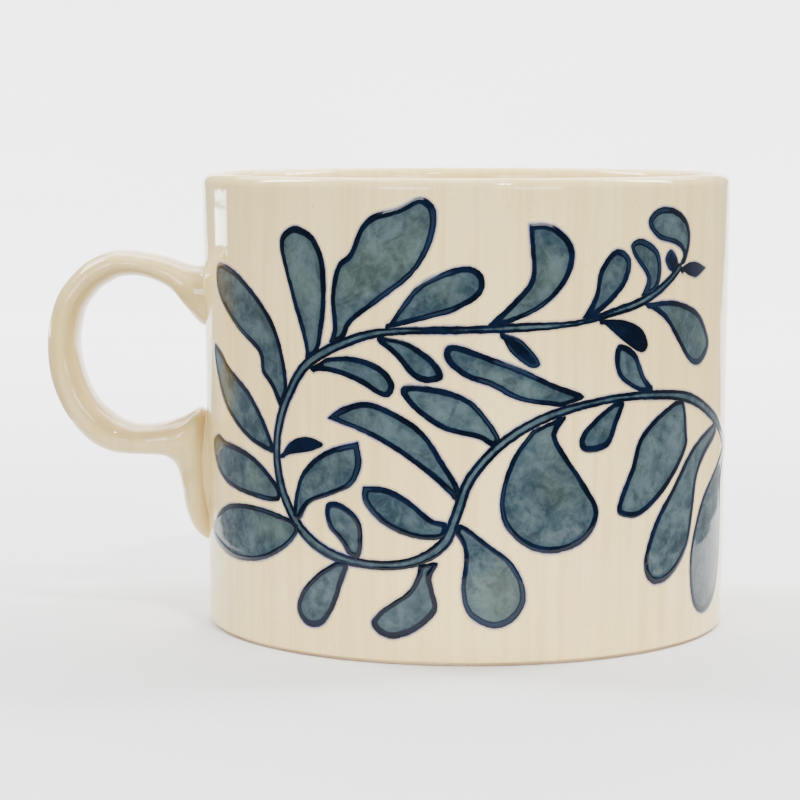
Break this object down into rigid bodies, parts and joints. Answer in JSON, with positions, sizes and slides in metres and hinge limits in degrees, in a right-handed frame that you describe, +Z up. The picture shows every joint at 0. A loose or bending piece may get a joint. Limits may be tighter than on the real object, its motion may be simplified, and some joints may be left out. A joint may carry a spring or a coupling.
{
  "type": "mug",
  "caption": "Straight-sided glazed stoneware mug with a rounded lip, a pulled strap handle joined with slip, and a blue-grey vine painted round the wall.",
  "frame": {"origin": "middle of the flat foot, on the mug's axis, where the mug meets the table", "axes": "+Z up along the mug's axis, the handle along -X, the front of the painting towards -Y"},
  "size_m": [0.1326, 0.102, 0.087],
  "materials": {
    "bare_stoneware": "matt fired clay",
    "joint_slip": "matt fired slip",
    "cream_glaze": "glossy glaze",
    "dark_line": "glossy glaze",
    "leaf_wash": "glossy glaze",
    "stem_wash": "glossy glaze"
  },
  "bodies": {
    "root": {"stoneware_body": "bare_stoneware", "strap_handle": "cream_glaze", "upper_joint_slip": "joint_slip", "lower_joint_slip": "joint_slip", "outer_glaze": "cream_glaze", "liner_glaze": "cream_glaze", "front_leaf_lines": "dark_line", "front_leaf_washes": "leaf_wash", "front_buds": "dark_line", "front_stem_lines": "dark_line", "front_stem_wash": "stem_wash", "back_leaf_lines": "dark_line", "back_leaf_washes": "leaf_wash", "back_buds": "dark_line", "back_stem_lines": "dark_line", "back_stem_wash": "stem_wash"}
  },
  "joints": []
}
